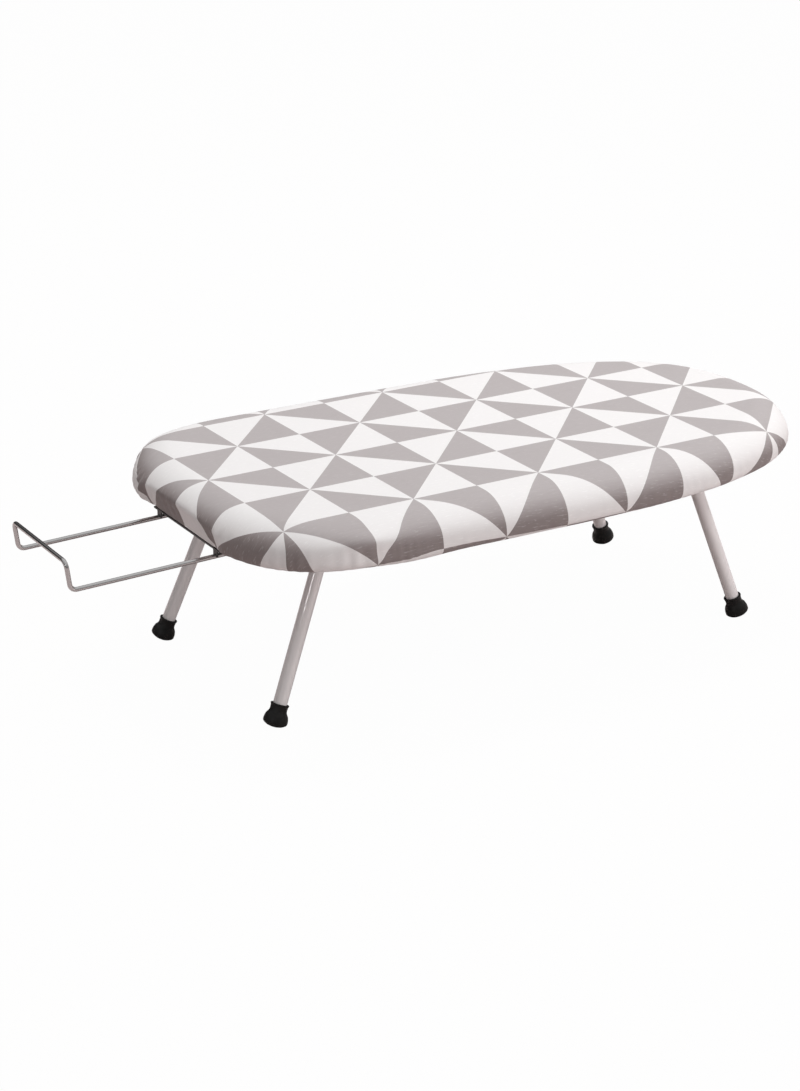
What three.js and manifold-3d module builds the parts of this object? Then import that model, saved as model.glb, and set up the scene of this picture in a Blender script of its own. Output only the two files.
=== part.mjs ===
// Travel ironing board: a padded steel-mesh board on two folding leg frames, with a wire iron rest
// that slides out from under its heel end.
// Millimetres, +Z up. The heel and the iron rest are at -X, the nose at +X.
// The origin is on the floor, under the middle of the box that the object fills.
import * as THREE from 'three';
import { mergeVertices } from 'three/addons/utils/BufferGeometryUtils.js';
import Module from 'manifold-3d';

const wasm = await Module();
wasm.setup();

// Board: plan outline, height and edge
const boardLength = 600;
const boardWidth = 342;
const boardHeight = 181;
const edgeDepth = 34;
const heelRun = 126;
const heelSideHandle = 100;
const heelEndHandle = 114;
const noseRun = 300;
const noseSideHandle = 286;
const noseEndHandle = 64;

// Cover: printed cotton, drawn round the edge and held by an elastic cord at its hem
const coverThickness = 1.2;
const shoulderReach = 38;
const shoulderDrop = 25;
const hemRadius = 8;
const hemWidth = 22;
const hemCordDiameter = 3;
const tuckDepth = 13;
const tuckSlant = THREE.MathUtils.degToRad(20);
const tuckWidth = 130;
const tuckFlare = 0.35;

// Pad: felt underlay that also softens the edge
const padThickness = 8;
const padSkirt = 7;
const padShoulder = 11;

// Mesh top: flat steel sheet with staggered diamond gaps
const meshThickness = 1;
const meshSeat = 8;
const gapLength = 46;
const gapWidth = 26;
const meshStrand = 6;

// Rim: rolled steel channel that follows the outline
const rimThickness = 1;
const rimShoulder = 10;
const rimTopFlange = 18;
const rimBottomFlange = 24;

// Rails: shallow channels across the board that carry the leg frames
const railThickness = 1.5;
const railFlange = 4;
const stopTabWidth = 18;
const stopTabReach = 12;

// Leg frames: one bent tube each, with two rubber feet
const tubeDiameter = 12;
const tubeWall = 1;
const tubeBend = 25;
const heelLean = THREE.MathUtils.degToRad(22.1);
const noseLean = THREE.MathUtils.degToRad(18.6);
const legSplay = THREE.MathUtils.degToRad(5.8);
const footSpacing = 219;
const heelFootInset = 36;
const noseFootInset = 88;
const pivotDrop = 11;

// Saddles: steel straps that the crossbars turn in
const saddleWidth = 16;
const saddleThickness = 1.5;
const saddleFoot = 10;
const saddleSpacing = 124;

// Rubber feet, measured along the leg from the sole. The sole is square to the leg,
// and its inner edge is pressed flat by the floor.
const footRadius = 10.4;
const footEdge = 0.8;
const footBulgeHeight = 4.5;
const footNeckRadius = 7.5;
const footNeckHeight = 11.9;
const footLipRadius = 8;
const footLip = 1.8;
const footHeight = 18.2;
const footSole = 5;
const footPress = 2;

// Iron rest: one bent wire, which hangs a little lower towards its far end
const wireDiameter = 4;
const restWidth = 108;
const restReach = 115;
const restDrop = 9;
const restTilt = THREE.MathUtils.degToRad(1.7);
const lipRise = 25;
const lipLean = 3;
const wireBend = 6;
const hookLength = 11;

// Carrier: plate under the heel, with a fork over each wire at its front and a closed ear at its back
const carrierLength = 128;
const carrierDepth = 43;
const carrierSetback = 14.2;
const carrierThickness = 1.5;
const earRadius = 3.4;

// Rivets
const rivetShank = 2;
const rivetHead = 3.4;
const rivetHeadHeight = 1.5;
const rivetTail = 2.9;
const rivetTailHeight = 0.8;
const carrierRivetSpacing = 60;
const carrierRivetSetback = 15;

// Clearance between pieces that touch
const gap = 0.3;

// Facets
const tubeSides = 12;
const wireSides = 8;
const cordSides = 6;
const latheSides = 20;
const rivetSides = 10;
const bendSteps = 6;
const endSteps = 11;
const arcSteps = 4;

// Heights and places that follow from the sizes above
const wireRadius = wireDiameter / 2;
const tubeRadius = tubeDiameter / 2;
const edgeBottom = boardHeight - edgeDepth;
const padTop = boardHeight - coverThickness - gap;
const padBottom = padTop - padThickness;
const meshTop = padBottom - gap;
const meshBottom = meshTop - meshThickness;
const rimTop = meshBottom - gap;
const rimBottom = edgeBottom + coverThickness + gap;
const padInset = coverThickness + gap;
const rimInset = padInset + padSkirt + gap;
const meshInset = rimInset + rimTopFlange - meshSeat;
const railInset = rimInset + rimShoulder + gap;
const railTop = rimTop - rimThickness - gap;
const railUnder = railTop - railThickness;
const pivotHeight = railUnder - pivotDrop;
const saddleEnd = tubeRadius + gap + saddleThickness + saddleFoot;
const railHalf = saddleEnd + gap + railThickness;
const heelPivotX = -boardLength / 2 + heelFootInset + pivotHeight * Math.tan(heelLean);
const nosePivotX = boardLength / 2 - noseFootInset - pivotHeight * Math.tan(noseLean);
const cordHeight = rimBottom - gap - hemCordDiameter / 2;
const carrierTop = Math.min(edgeBottom, cordHeight - hemCordDiameter / 2) - gap;
const carrierFront = carrierSetback - boardLength / 2;
const wireHeight = edgeBottom - restDrop;
const restEnd = -boardLength / 2 - restReach;

const materials = {
  cloth: new THREE.MeshStandardMaterial({ color: 0xd9d4d3, roughness: 0.9, metalness: 0 }),
  felt: new THREE.MeshStandardMaterial({ color: 0xe6e2da, roughness: 1, metalness: 0 }),
  elastic: new THREE.MeshStandardMaterial({ color: 0xe9e6e4, roughness: 0.8, metalness: 0 }),
  greyPaint: new THREE.MeshStandardMaterial({ color: 0xc4bfbd, roughness: 0.35, metalness: 0.2 }),
  blackPaint: new THREE.MeshStandardMaterial({ color: 0x1c1b1b, roughness: 0.5, metalness: 0.1 }),
  chrome: new THREE.MeshStandardMaterial({ color: 0xb9b8b6, roughness: 0.15, metalness: 1 }),
  zinc: new THREE.MeshStandardMaterial({ color: 0xaaa9a6, roughness: 0.4, metalness: 1 }),
  rubber: new THREE.MeshStandardMaterial({ color: 0x1a1918, roughness: 0.75, metalness: 0 }),
};

const assembly = new THREE.Group();

function addMesh(parent, name, geometry, material) {
  const mesh = new THREE.Mesh(geometry, material);
  mesh.name = name;
  parent.add(mesh);
  return mesh;
}

// Solids for cutting and joining
function solidOf(geometry) {
  const bare = new THREE.BufferGeometry();
  bare.setAttribute('position', geometry.getAttribute('position'));
  bare.setIndex(geometry.getIndex());
  const merged = mergeVertices(bare, 1e-3);
  return new wasm.Manifold(new wasm.Mesh({
    numProp: 3,
    vertProperties: new Float32Array(merged.getAttribute('position').array),
    triVerts: new Uint32Array(merged.getIndex().array),
  }));
}

function geometryOf(solid) {
  const mesh = solid.getMesh();
  const geometry = new THREE.BufferGeometry();
  geometry.setAttribute('position', new THREE.BufferAttribute(mesh.vertProperties, 3));
  geometry.setIndex(new THREE.BufferAttribute(mesh.triVerts, 1));
  geometry.computeVertexNormals();
  return geometry;
}

function joined(geometries) {
  return geometryOf(geometries.map(solidOf).reduce((sum, next) => sum.add(next)));
}

function withHoles(geometry, tools) {
  return geometryOf(tools.map(solidOf).reduce((left, tool) => left.subtract(tool), solidOf(geometry)));
}

// Plan outline of the cover, as stations with an outward normal, anticlockwise from the nose tip
function outlineStations() {
  const halfWidth = boardWidth / 2;
  const noseTip = boardLength / 2;
  const noseStart = noseTip - noseRun;
  const heelStart = heelRun - noseTip;
  const nose = new THREE.CubicBezierCurve(
    new THREE.Vector2(noseTip, 0),
    new THREE.Vector2(noseTip, noseEndHandle),
    new THREE.Vector2(noseStart + noseSideHandle, halfWidth),
    new THREE.Vector2(noseStart, halfWidth),
  );
  const heel = new THREE.CubicBezierCurve(
    new THREE.Vector2(heelStart, halfWidth),
    new THREE.Vector2(heelStart - heelSideHandle, halfWidth),
    new THREE.Vector2(-noseTip, heelEndHandle),
    new THREE.Vector2(-noseTip, 0),
  );
  const side = [];
  for (const curve of [nose, heel]) {
    for (let i = 0; i <= endSteps; i += 1) {
      const point = curve.getPointAt(i / endSteps);
      const tangent = curve.getTangentAt(i / endSteps);
      side.push({ x: point.x, y: point.y, nx: tangent.y, ny: -tangent.x });
    }
  }
  const back = side.slice(1, -1).reverse();
  return [...side, ...back.map((s) => ({ x: s.x, y: -s.y, nx: s.nx, ny: -s.ny }))];
}

const stations = outlineStations();

// The cover is drawn flat across the heel: below a crease the edge slants in to a straight hem.
// Beside the flat part the slanting face runs out to the round of the edge.
// Skin is the depth below the outside of the cover.
function facetAt(y, z, skin) {
  const depth = tuckDepth - (z - edgeBottom) * Math.tan(tuckSlant);
  const flare = tuckFlare * Math.max(0, Math.abs(y) - tuckWidth / 2);
  return depth - flare + skin / Math.cos(tuckSlant) - boardLength / 2;
}

function ringAt(inset, z, skin) {
  return stations.map((s) => {
    const x = s.x - s.nx * inset;
    const y = s.y - s.ny * inset;
    return [skin === undefined ? x : Math.max(x, facetAt(s.y, z, skin)), y, z];
  });
}

// Half the width of the outline, drawn in by an inset, at one place along the board
function halfWidthAt(x, inset) {
  const ring = ringAt(inset, 0);
  for (let i = 0; i + 1 < ring.length; i += 1) {
    const [x0, y0] = ring[i];
    const [x1, y1] = ring[i + 1];
    if (y0 >= 0 && y1 >= 0 && x0 >= x && x1 <= x && x0 > x1) {
      return y0 + ((y1 - y0) * (x0 - x)) / (x0 - x1);
    }
  }
  return 0;
}

// Skin through a profile of [inset, height, skin] points carried round the outline.
// A closed profile makes a ring, and an open one is capped at both ends.
function lofted(profile, closed) {
  const rings = profile.map(([inset, z, skin]) => ringAt(inset, z, skin));
  const count = stations.length;
  const positions = rings.flat(2);
  const index = [];
  const bands = closed ? rings.length : rings.length - 1;
  for (let j = 0; j < bands; j += 1) {
    const upper = j * count;
    const lower = ((j + 1) % rings.length) * count;
    for (let i = 0; i < count; i += 1) {
      const next = (i + 1) % count;
      const [a, b, c, d] = [upper + i, lower + i, lower + next, upper + next];
      index.push(...(2 * i < count ? [a, b, c, a, c, d] : [a, b, d, b, c, d]));
    }
  }
  if (!closed) {
    const first = positions.length / 3;
    const lastRing = (rings.length - 1) * count;
    positions.push(0, 0, profile[0][1], 0, 0, profile.at(-1)[1]);
    for (let i = 0; i < count; i += 1) {
      const next = (i + 1) % count;
      index.push(first, i, next);
      index.push(first + 1, lastRing + next, lastRing + i);
    }
  }
  const geometry = new THREE.BufferGeometry();
  geometry.setAttribute('position', new THREE.Float32BufferAttribute(positions, 3));
  geometry.setIndex(index);
  geometry.computeVertexNormals();
  return geometry;
}

// Points of an arc in the [inset, height] section, angles in degrees from the outward direction
function sectionArc(inset, z, reach, rise, from, to, skin) {
  const points = [];
  for (let i = 0; i <= arcSteps; i += 1) {
    const angle = THREE.MathUtils.degToRad(from + ((to - from) * i) / arcSteps);
    points.push([inset - reach * Math.cos(angle), z + rise * Math.sin(angle), skin]);
  }
  return points;
}

// The cover's shoulder, or one that lies a skin's depth inside it
function shoulderArc(skin, from, to) {
  const reach = shoulderReach - skin;
  const rise = shoulderDrop - skin;
  return sectionArc(shoulderReach, boardHeight - shoulderDrop, reach, rise, from, to, skin);
}

// A line with rounded corners, for tubes and wires. Its steps fall on the ends of the bends.
class BentLine extends THREE.Curve {
  constructor(corners, bendRadius) {
    super();
    this.stations = [corners[0].clone()];
    for (let i = 1; i + 1 < corners.length; i += 1) {
      this.addBend(corners[i - 1], corners[i], corners[i + 1], bendRadius);
    }
    this.stations.push(corners.at(-1).clone());
  }

  addBend(before, corner, after, radius) {
    const inward = corner.clone().sub(before).normalize();
    const outward = after.clone().sub(corner).normalize();
    const turn = inward.angleTo(outward);
    const start = corner.clone().addScaledVector(inward, -radius * Math.tan(turn / 2));
    const axis = inward.clone().cross(outward).normalize();
    const centre = start.clone().addScaledVector(axis.clone().cross(inward), radius);
    const arm = start.clone().sub(centre);
    for (let i = 0; i <= bendSteps; i += 1) {
      const turned = arm.clone().applyAxisAngle(axis, (turn * i) / bendSteps);
      this.stations.push(centre.clone().add(turned));
    }
  }

  get steps() {
    return this.stations.length - 1;
  }

  getPoint(t, target = new THREE.Vector3()) {
    const place = Math.min(t * this.steps, this.steps);
    const i = Math.min(Math.floor(place), this.steps - 1);
    return target.lerpVectors(this.stations[i], this.stations[i + 1], place - i);
  }

  getUtoTmapping(u) {
    return u;
  }
}

function discShape(radius, sides) {
  const points = [];
  for (let i = 0; i < sides; i += 1) {
    const angle = (2 * Math.PI * (i + 0.5)) / sides;
    points.push(new THREE.Vector2(radius * Math.cos(angle), radius * Math.sin(angle)));
  }
  return new THREE.Shape(points);
}

function tubeAlong(line, radius, bore, sides) {
  const section = discShape(radius, sides);
  if (bore > 0) {
    section.holes.push(new THREE.Path(discShape(bore, sides).getPoints()));
  }
  return new THREE.ExtrudeGeometry(section, { steps: line.steps, extrudePath: line });
}

// A profile in the X-Z plane, carried along Y and centred on it
function extrudedAcross(shape, length) {
  const geometry = new THREE.ExtrudeGeometry(shape, {
    depth: length,
    bevelEnabled: false,
    curveSegments: 2 * arcSteps,
  });
  return geometry.rotateX(Math.PI / 2).translate(0, length / 2, 0);
}

// Cylinders wide enough that their flats clear a round piece of the given radius
function clearRadius(radius, sides) {
  return (radius + gap) / Math.cos(Math.PI / sides);
}

function drill(x, y, z, radius, length) {
  const sides = rivetSides;
  const tool = new THREE.CylinderGeometry(clearRadius(radius, sides), clearRadius(radius, sides), length, sides);
  return tool.rotateX(Math.PI / 2).translate(x, y, z);
}

// Cover: over the top, round the shoulder and down to the hem, then back up the inside
function buildCover() {
  const hemZ = edgeBottom + hemRadius;
  const inside = hemRadius - coverThickness;
  const outer = [
    ...shoulderArc(0, 90, 0),
    ...sectionArc(hemRadius, hemZ, hemRadius, hemRadius, 0, -90, 0),
  ];
  const inner = [
    ...sectionArc(hemRadius, hemZ, inside, inside, -90, 0, coverThickness),
    ...shoulderArc(coverThickness, 0, 90),
  ];
  const hem = [[hemWidth, edgeBottom], [hemWidth, edgeBottom + coverThickness]];
  addMesh(assembly, 'cover', lofted([...outer, ...hem, ...inner], false), materials.cloth);
}

// Elastic cord that draws the hem in, under the rim's lower flange
function buildHemCord() {
  const radius = hemCordDiameter / 2;
  const inset = hemWidth + gap + radius;
  const profile = [];
  for (let i = 0; i < cordSides; i += 1) {
    const angle = (-2 * Math.PI * i) / cordSides;
    profile.push([inset - radius * Math.cos(angle), cordHeight + radius * Math.sin(angle)]);
  }
  addMesh(assembly, 'hem_cord', lofted(profile, true), materials.elastic);
}

// Pad: a cap of felt over the mesh and down the outside of the rim
function buildPad() {
  const foot = edgeBottom + hemRadius;
  const inside = padInset + padSkirt;
  const outer = shoulderArc(padInset, 90, 0);
  const turnZ = padBottom - padShoulder;
  const inner = sectionArc(inside + padShoulder, turnZ, padShoulder, padShoulder, 0, 90, inside);
  const profile = [...outer, [padInset, foot, padInset], [inside, foot, inside], ...inner];
  addMesh(assembly, 'felt_pad', lofted(profile, false), materials.felt);
}

// Diamond gaps in staggered rows, where they stay clear of the seat on the rim
function meshGaps() {
  const gaps = [];
  const stepX = gapLength + meshStrand * 2;
  const stepY = (gapWidth + meshStrand * 1.2) / 2;
  const margin = meshInset + meshSeat + meshStrand;
  const rows = Math.floor(boardWidth / 2 / stepY);
  const columns = Math.ceil(boardLength / stepX);
  for (let row = -rows; row <= rows; row += 1) {
    const shift = row % 2 === 0 ? 0 : stepX / 2;
    for (let column = -columns; column <= columns; column += 1) {
      const x = column * stepX + shift;
      const y = row * stepY;
      const clearOf = (dx, dy) => halfWidthAt(x + dx, margin) > Math.abs(y) + dy;
      if (clearOf(gapLength / 2, 0) && clearOf(-gapLength / 2, 0) && clearOf(0, gapWidth / 2)) {
        gaps.push([x, y]);
      }
    }
  }
  return gaps;
}

function buildMeshTop() {
  const sheet = new THREE.Shape(ringAt(meshInset, 0).map(([x, y]) => new THREE.Vector2(x, y)));
  for (const [x, y] of meshGaps()) {
    const diamond = new THREE.Path();
    diamond.moveTo(x + gapLength / 2, y);
    diamond.lineTo(x, y - gapWidth / 2);
    diamond.lineTo(x - gapLength / 2, y);
    diamond.lineTo(x, y + gapWidth / 2);
    diamond.closePath();
    sheet.holes.push(diamond);
  }
  const geometry = new THREE.ExtrudeGeometry(sheet, { depth: meshThickness, bevelEnabled: false });
  addMesh(assembly, 'mesh_top', geometry.translate(0, 0, meshBottom), materials.greyPaint);
}

function carrierRivets() {
  const x = carrierFront + carrierRivetSetback;
  return [1, -1].map((side) => [x, (side * carrierRivetSpacing) / 2]);
}

// Rim: a channel with its open side inward, rounded at its upper edge
function buildRim() {
  const shoulderInset = rimInset + rimShoulder;
  const shoulderZ = rimTop - rimShoulder;
  const shoulderInside = rimShoulder - rimThickness;
  const inner = rimInset + rimThickness;
  const skin = rimInset + gap;
  const innerSkin = skin + rimThickness;
  const topEnd = rimInset + rimTopFlange;
  const bottomEnd = rimInset + rimBottomFlange;
  const profile = [
    [topEnd, rimTop],
    ...sectionArc(shoulderInset, shoulderZ, rimShoulder, rimShoulder, 90, 0, skin),
    [rimInset, rimBottom, skin],
    [bottomEnd, rimBottom],
    [bottomEnd, rimBottom + rimThickness],
    [inner, rimBottom + rimThickness, innerSkin],
    ...sectionArc(shoulderInset, shoulderZ, shoulderInside, shoulderInside, 0, 90, innerSkin),
    [topEnd, rimTop - rimThickness],
  ];
  const holes = carrierRivets().map(([x, y]) => drill(x, y, rimBottom, rivetShank, 4 * rimThickness));
  addMesh(assembly, 'rim_frame', withHoles(lofted(profile, true), holes), materials.greyPaint);
}

// Rivet places on one rail, from its middle: two for each saddle
function railRivets() {
  const reach = saddleEnd - saddleFoot / 2;
  const places = [];
  for (const side of [1, -1]) {
    for (const end of [1, -1]) {
      places.push([end * reach, (side * saddleSpacing) / 2]);
    }
  }
  return places;
}

// How far a leg's corner is from the middle, for a given lean
function legCornerAt(lean) {
  return footSpacing / 2 - (pivotHeight / Math.cos(lean)) * Math.tan(legSplay);
}

// Rail: a shallow channel, open downwards, with two lanced tabs that stop the legs when they are open.
// It is drawn with its outer side at -X.
function buildRail(parent, end) {
  const half = railHalf;
  const section = new THREE.Shape();
  section.moveTo(-half, railTop);
  section.lineTo(-half, railTop - railFlange);
  section.lineTo(-half + railThickness, railTop - railFlange);
  section.lineTo(-half + railThickness, railUnder);
  section.lineTo(half - railThickness, railUnder);
  section.lineTo(half - railThickness, railTop - railFlange);
  section.lineTo(half, railTop - railFlange);
  section.lineTo(half, railTop);
  section.closePath();
  const reach = [-half, half].map((dx) => halfWidthAt(end.pivotX + dx, railInset));
  const solids = [extrudedAcross(section, 2 * Math.min(...reach))];

  // Each tab lies along the open leg, a clearance away from its outer side
  const tabOffset = tubeRadius + gap + railThickness / 2;
  const webMiddle = railTop - railThickness / 2 - pivotHeight;
  const tabTop = (webMiddle - tabOffset * Math.sin(end.lean)) / Math.cos(end.lean);
  const tabLength = tabTop + stopTabReach;
  for (const side of [1, -1]) {
    const tab = new THREE.BoxGeometry(railThickness, stopTabWidth, tabLength);
    tab.translate(-tabOffset, side * legCornerAt(end.lean), tabTop - tabLength / 2);
    tab.rotateY(end.lean);
    solids.push(tab.translate(0, 0, pivotHeight));
  }
  const holes = railRivets().map(([x, y]) => drill(x, y, railTop, rivetShank, 4 * railThickness));
  addMesh(parent, `${end.name}_rail`, withHoles(joined(solids), holes), materials.greyPaint);
}

// Saddle: a strap under the crossbar with a flat foot on each side
function saddleGeometry() {
  const inner = clearRadius(tubeRadius, 4 * arcSteps);
  const outer = inner + saddleThickness;
  const end = saddleEnd;
  const top = railUnder - gap;
  const strap = new THREE.Shape();
  strap.moveTo(-end, top);
  strap.lineTo(-end, top - saddleThickness);
  strap.lineTo(-outer, top - saddleThickness);
  strap.lineTo(-outer, pivotHeight);
  strap.absarc(0, pivotHeight, outer, Math.PI, 2 * Math.PI, false);
  strap.lineTo(outer, top - saddleThickness);
  strap.lineTo(end, top - saddleThickness);
  strap.lineTo(end, top);
  strap.lineTo(inner, top);
  strap.lineTo(inner, pivotHeight);
  strap.absarc(0, pivotHeight, inner, 0, -Math.PI, true);
  strap.lineTo(-inner, top);
  strap.closePath();
  return extrudedAcross(strap, saddleWidth);
}

// Rivet through two sheets, its domed head below and its upset tail above
function rivetGeometry(headZ, tailZ) {
  const head = headZ - gap;
  const tail = tailZ + gap;
  const profile = [
    [0, head - rivetHeadHeight],
    [rivetHead * 0.6, head - rivetHeadHeight * 0.85],
    [rivetHead, head - rivetHeadHeight * 0.3],
    [rivetHead, head],
    [rivetShank, head],
    [rivetShank, tail],
    [rivetTail, tail],
    [rivetTail * 0.7, tail + rivetTailHeight],
    [0, tail + rivetTailHeight],
  ];
  const turned = new THREE.LatheGeometry(profile.map(([r, h]) => new THREE.Vector2(r, h)), rivetSides);
  return turned.rotateX(Math.PI / 2);
}

function buildSaddles(parent, end) {
  const top = railUnder - gap;
  const places = railRivets();
  for (const [side, word] of end.sides) {
    const y = (side * saddleSpacing) / 2;
    const own = places.filter((place) => place[1] === y);
    const holes = own.map(([x]) => drill(x, 0, top, rivetShank, 4 * saddleThickness));
    const saddle = withHoles(saddleGeometry(), holes);
    addMesh(parent, `${end.name}_${word}_saddle`, saddle, materials.greyPaint).position.y = y;
    own.forEach(([x], i) => {
      const name = `${end.name}_${word}_saddle_rivet_${i + 1}`;
      const rivet = addMesh(parent, name, rivetGeometry(top - saddleThickness, railTop), materials.zinc);
      rivet.position.set(x, y, 0);
    });
  }
}

// Rubber foot: a bulb with a lipped collar and a blind socket, turned about the leg
// and cut level with the floor
function footGeometry(toFloor) {
  const socket = clearRadius(tubeRadius, latheSides);
  const middleRadius = footNeckRadius * 0.36 + footRadius * 0.64;
  const outside = new THREE.SplineCurve([
    new THREE.Vector2(footRadius, footEdge),
    new THREE.Vector2(footRadius * 0.985, footBulgeHeight),
    new THREE.Vector2(middleRadius, (footBulgeHeight + footNeckHeight) / 2),
    new THREE.Vector2(footNeckRadius, footNeckHeight),
  ]);
  const profile = [
    new THREE.Vector2(0, 0),
    new THREE.Vector2(footRadius - footEdge, 0),
    ...outside.getPoints(2 * arcSteps),
    new THREE.Vector2(footNeckRadius, footHeight - footLip),
    new THREE.Vector2(footLipRadius, footHeight - footLip / 2),
    new THREE.Vector2(footLipRadius, footHeight),
    new THREE.Vector2(socket, footHeight),
    new THREE.Vector2(socket, footSole),
    new THREE.Vector2(0, footSole),
  ];
  const turned = new THREE.LatheGeometry(profile, latheSides).rotateX(Math.PI / 2).applyMatrix4(toFloor);
  const aboveFloor = new THREE.BoxGeometry(8 * footRadius, 8 * footRadius, 4 * footHeight);
  const centre = new THREE.Vector3().setFromMatrixPosition(toFloor);
  aboveFloor.translate(centre.x, centre.y, 2 * footHeight);
  const cut = solidOf(turned).intersect(solidOf(aboveFloor));
  return geometryOf(cut).applyMatrix4(toFloor.clone().invert());
}

// Leg frame: built upright about its pivot, leaned outwards by the group that holds it
function buildLegs(parent, end) {
  const lean = new THREE.Group();
  lean.position.z = pivotHeight;
  lean.rotation.y = end.lean;
  lean.updateMatrix();
  parent.add(lean);

  // The leg ends at the middle of its sole, whose lowest edge is pressed into the floor
  const upright = Math.cos(end.lean) * Math.cos(legSplay);
  const soleRise = (footRadius * Math.sin(Math.acos(upright)) - footPress) / upright;
  const legLine = new THREE.Vector3(0, Math.sin(legSplay), -Math.cos(legSplay));
  const legLength = pivotHeight / upright - soleRise;
  const tubeLength = legLength - footSole - gap;
  const mirror = new THREE.Vector3(1, -1, 1);
  const corner = new THREE.Vector3(0, legCornerAt(end.lean), 0);
  const tip = corner.clone().addScaledVector(legLine, tubeLength);
  const line = new BentLine([tip, corner, corner.clone().multiply(mirror), tip.clone().multiply(mirror)], tubeBend);
  const tube = tubeAlong(line, tubeRadius, tubeRadius - tubeWall, tubeSides);
  addMesh(lean, `${end.name}_leg_tube`, tube, materials.greyPaint);

  for (const [side, word] of end.sides) {
    const place = new THREE.Group();
    place.position.copy(corner).addScaledVector(legLine, legLength);
    place.position.y *= side;
    place.rotation.x = side * legSplay;
    place.updateMatrix();
    lean.add(place);
    const toFloor = lean.matrix.clone().multiply(place.matrix);
    addMesh(place, `${end.name}_${word}_foot`, footGeometry(toFloor), materials.rubber);
  }
}

// One end's rail, saddles and legs, drawn with the outer side at -X and turned round for the nose
function buildLegEnd(end) {
  const group = new THREE.Group();
  group.position.x = end.pivotX;
  group.rotation.z = end.turn;
  assembly.add(group);
  buildRail(group, end);
  buildSaddles(group, end);
  buildLegs(group, end);
}

// Height of the rest's wire, where its runs lie, at one place along the board
function wireHeightAt(x) {
  return wireHeight + (x - carrierFront) * Math.tan(restTilt);
}

// Carrier: a black plate, riveted under the rim. The wire slides through its forks and ears.
function buildCarrier() {
  const front = carrierFront;
  const back = front + carrierDepth;
  const middle = carrierTop - carrierThickness / 2;
  const plate = new THREE.BoxGeometry(carrierDepth, carrierLength, carrierThickness);
  const solids = [plate.translate((front + back) / 2, 0, middle)];
  const tools = carrierRivets().map(([x, y]) => drill(x, y, carrierTop, rivetShank, 4 * carrierThickness));
  const bore = clearRadius(wireRadius, latheSides);
  const ends = [front + carrierThickness / 2, back - carrierThickness / 2];
  for (const side of [1, -1]) {
    const y = (side * restWidth) / 2;
    for (const x of ends) {
      const hang = middle - wireHeightAt(x);
      const web = new THREE.BoxGeometry(carrierThickness, 2 * earRadius, hang);
      solids.push(web.translate(x, y, middle - hang / 2));
    }
    const ear = new THREE.CylinderGeometry(earRadius, earRadius, carrierThickness, latheSides);
    solids.push(ear.rotateZ(Math.PI / 2).translate(ends[1], y, wireHeightAt(ends[1])));
    const hole = new THREE.CylinderGeometry(bore, bore, 3 * carrierDepth, latheSides);
    tools.push(hole.rotateZ(Math.PI / 2).rotateY(-restTilt).translate(front, y, wireHeight));
  }
  addMesh(assembly, 'rest_carrier', withHoles(joined(solids), tools), materials.blackPaint);

  carrierRivets().forEach(([x, y], i) => {
    const rivet = rivetGeometry(carrierTop - carrierThickness, rimBottom + rimThickness);
    addMesh(assembly, `carrier_rivet_${i + 1}`, rivet, materials.zinc).position.set(x, y, 0);
  });
}

// Iron rest: hooked ends behind the carrier, two runs, and a lip turned up at the far end
function buildIronRest() {
  const half = restWidth / 2;
  const hookX = carrierFront + carrierDepth + gap + wireBend;
  const oneSide = (side) => [
    new THREE.Vector3(hookX, side * (half + hookLength), wireHeightAt(hookX)),
    new THREE.Vector3(hookX, side * half, wireHeightAt(hookX)),
    new THREE.Vector3(restEnd, side * half, wireHeightAt(restEnd)),
    new THREE.Vector3(restEnd - lipLean, side * half, wireHeightAt(restEnd) + lipRise),
  ];
  const line = new BentLine([...oneSide(1), ...oneSide(-1).reverse()], wireBend);
  addMesh(assembly, 'iron_rest', tubeAlong(line, wireRadius, 0, wireSides), materials.chrome);
}

buildCover();
buildHemCord();
buildPad();
buildMeshTop();
buildRim();
buildLegEnd({
  name: 'heel', pivotX: heelPivotX, lean: heelLean, turn: 0, sides: [[1, 'back'], [-1, 'front']],
});
buildLegEnd({
  name: 'nose', pivotX: nosePivotX, lean: noseLean, turn: Math.PI, sides: [[-1, 'back'], [1, 'front']],
});
buildCarrier();
buildIronRest();

// The box runs from the outside of the rest's lip to the tip of the nose
assembly.position.x = -(restEnd - lipLean - wireRadius + boardLength / 2) / 2;

const board = new THREE.Group();
board.add(assembly);
export default board;
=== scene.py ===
import math

import bmesh
import bpy
import numpy as np
from mathutils import Euler, Matrix, Vector


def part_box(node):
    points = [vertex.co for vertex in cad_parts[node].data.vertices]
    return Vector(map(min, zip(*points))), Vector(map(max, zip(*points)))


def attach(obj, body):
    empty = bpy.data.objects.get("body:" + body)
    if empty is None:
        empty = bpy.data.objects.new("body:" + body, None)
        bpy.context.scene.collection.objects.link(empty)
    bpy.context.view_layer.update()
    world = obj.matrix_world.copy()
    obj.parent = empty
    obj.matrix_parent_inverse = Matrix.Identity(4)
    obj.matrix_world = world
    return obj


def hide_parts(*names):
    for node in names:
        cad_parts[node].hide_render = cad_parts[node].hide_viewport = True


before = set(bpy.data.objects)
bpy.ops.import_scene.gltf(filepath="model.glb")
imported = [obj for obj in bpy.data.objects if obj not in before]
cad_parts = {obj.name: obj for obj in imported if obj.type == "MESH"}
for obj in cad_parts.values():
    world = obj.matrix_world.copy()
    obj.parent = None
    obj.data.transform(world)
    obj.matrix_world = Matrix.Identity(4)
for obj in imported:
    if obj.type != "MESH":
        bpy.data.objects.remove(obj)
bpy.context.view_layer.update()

scene = bpy.context.scene
scene.view_settings.view_transform = "Standard"
print("frame loaded:", len(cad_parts), "solids")


def linked(name, data):
    item = bpy.data.objects.new(name, data)
    scene.collection.objects.link(item)
    return item


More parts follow.
